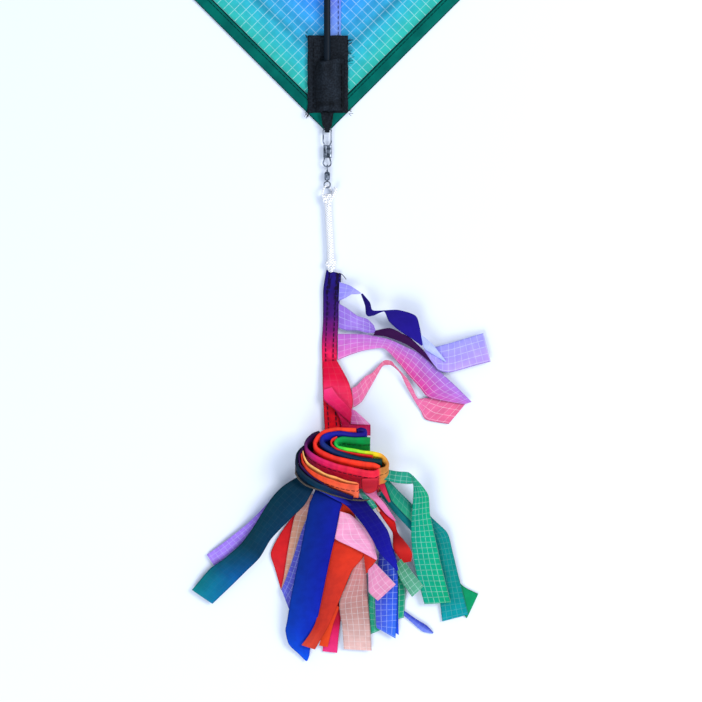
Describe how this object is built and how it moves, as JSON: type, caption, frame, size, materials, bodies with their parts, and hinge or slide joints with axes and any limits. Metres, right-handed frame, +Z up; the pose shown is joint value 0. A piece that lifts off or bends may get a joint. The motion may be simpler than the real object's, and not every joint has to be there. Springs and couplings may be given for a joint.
{
  "type": "diamond kite",
  "caption": "Diamond kite with a spine and cross spars in stitched pockets, and a clip-on fringe tail on a swivel snap, wound and banded for storage.",
  "frame": {"origin": "on the surface that the kite lies on, face down, under the crossing of the spine and the spreaders", "axes": "+Y along the spine to the nose, +Z up out of the back of the sail, +X to the right wing as seen from the back"},
  "size_m": [0.914, 1.0043, 0.022],
  "materials": {
    "sail_cloth": "printed ripstop, satin",
    "hem_cloth": "printed ripstop, folded and stitched",
    "seam_cloth": "printed ripstop, doubled and stitched",
    "black_webbing": "woven webbing, stitched",
    "spar": "pultruded glass-fibre rod, satin black",
    "fitting": "moulded vinyl",
    "nickel": "nickel-plated wire and sheet",
    "white_braid": "braided cord",
    "band_cloth": "printed ripstop, folded and stitched",
    "elastic": "covered elastic",
    "cloth_lavender": "printed ripstop streamer",
    "cloth_plum": "printed ripstop streamer",
    "cloth_pink": "printed ripstop streamer",
    "cloth_rose": "printed ripstop streamer",
    "cloth_crimson": "printed ripstop streamer",
    "cloth_teal": "printed ripstop streamer",
    "cloth_lilac": "printed ripstop streamer",
    "cloth_red": "printed ripstop streamer",
    "cloth_peach": "printed ripstop streamer",
    "cloth_blue": "printed ripstop streamer",
    "cloth_coral": "printed ripstop streamer",
    "cloth_hot_pink": "printed ripstop streamer",
    "cloth_beige": "printed ripstop streamer",
    "cloth_indigo": "printed ripstop streamer",
    "cloth_cobalt": "printed ripstop streamer",
    "cloth_mint": "printed ripstop streamer",
    "cloth_jade": "printed ripstop streamer",
    "cloth_scarlet": "printed ripstop streamer",
    "cloth_petrol": "printed ripstop streamer",
    "cloth_green": "printed ripstop streamer",
    "cloth_turquoise": "printed ripstop streamer",
    "cloth_emerald": "printed ripstop streamer",
    "cloth_sage": "printed ripstop streamer",
    "cloth_azure": "printed ripstop streamer"
  },
  "bodies": {
    "kite": {"bridle_patch_lower": "black_webbing", "bridle_patch_upper": "black_webbing", "centre_fitting": "fitting", "centre_seam": "seam_cloth", "hem_lower_left": "hem_cloth", "hem_lower_right": "hem_cloth", "hem_upper_left": "hem_cloth", "hem_upper_right": "hem_cloth", "left_spreader_rod": "spar", "left_wing_patch": "black_webbing", "left_wing_pocket": "black_webbing", "nose_patch": "black_webbing", "nose_pocket": "black_webbing", "right_spreader_rod": "spar", "right_wing_patch": "black_webbing", "right_wing_pocket": "black_webbing", "sail_left_panel": "sail_cloth", "sail_right_panel": "sail_cloth", "spine_rod": "spar", "tail_patch": "black_webbing", "tail_pocket": "black_webbing", "tail_tab": "black_webbing"},
    "snap": {"snap_wire": "nickel", "snap_collar": "nickel"},
    "gate": {"snap_gate": "nickel"},
    "swivel_head": {"swivel_head_eye": "nickel"},
    "swivel_barrel": {"swivel_barrel": "nickel"},
    "swivel_tail": {"swivel_tail_eye": "nickel"},
    "link": {"link_upper_knot": "white_braid", "link_cord": "white_braid", "link_lower_knot": "white_braid"},
    "tail": {"elastic_band": "elastic", "streamer_01_lavender": "cloth_lavender", "streamer_02_plum": "cloth_plum", "streamer_03_pink": "cloth_pink", "streamer_04_rose": "cloth_rose", "streamer_05_crimson": "cloth_crimson", "streamer_06_teal": "cloth_teal", "streamer_07_lilac": "cloth_lilac", "streamer_08_red": "cloth_red", "streamer_09_peach": "cloth_peach", "streamer_10_lavender": "cloth_lavender", "streamer_11_blue": "cloth_blue", "streamer_12_coral": "cloth_coral", "streamer_13_hot_pink": "cloth_hot_pink", "streamer_14_pink": "cloth_pink", "streamer_15_beige": "cloth_beige", "streamer_16_indigo": "cloth_indigo", "streamer_17_cobalt": "cloth_cobalt", "streamer_18_mint": "cloth_mint", "streamer_19_jade": "cloth_jade", "streamer_20_scarlet": "cloth_scarlet", "streamer_21_petrol": "cloth_petrol", "streamer_22_green": "cloth_green", "streamer_23_turquoise": "cloth_turquoise", "streamer_24_emerald": "cloth_emerald", "streamer_25_sage": "cloth_sage", "streamer_26_azure": "cloth_azure", "tail_band": "band_cloth", "tail_band_coil": "band_cloth"}
  },
  "joints": [
    {"name": "snap_swing", "type": "hinge", "parent": "kite", "child": "snap", "pos_m": [0, -0.4545, 0.0029], "axis": [-1, 0, 0], "range_deg": [0, 80]},
    {"name": "gate_open", "type": "hinge", "parent": "snap", "child": "gate", "pos_m": [0.0014, -0.4545, 0.0029], "axis": [0, 0, 1], "range_deg": [0, 20], "stiffness_Nm_per_rad": 0.001},
    {"name": "eye_slide", "type": "hinge", "parent": "snap", "child": "swivel_head", "pos_m": [0, -0.4754, 0.0029], "axis": [0, 0, 1], "range_deg": [-40, 40]},
    {"name": "barrel_spin", "type": "hinge", "parent": "swivel_head", "child": "swivel_barrel", "pos_m": [0, -0.482, 0.0029], "axis": [0, 1, 0], "continuous": true},
    {"name": "tail_eye_spin", "type": "hinge", "parent": "swivel_barrel", "child": "swivel_tail", "pos_m": [0, -0.485, 0.0029], "axis": [0, 1, 0], "continuous": true},
    {"name": "link_swing", "type": "hinge", "parent": "swivel_tail", "child": "link", "pos_m": [0, -0.4906, 0.0029], "axis": [-1, 0, 0], "range_deg": [0, 40]},
    {"name": "tail_swing", "type": "hinge", "parent": "link", "child": "tail", "pos_m": [0.0022, -0.5375, 0.0026], "axis": [0, 0, 1], "range_deg": [-50, 50]}
  ]
}
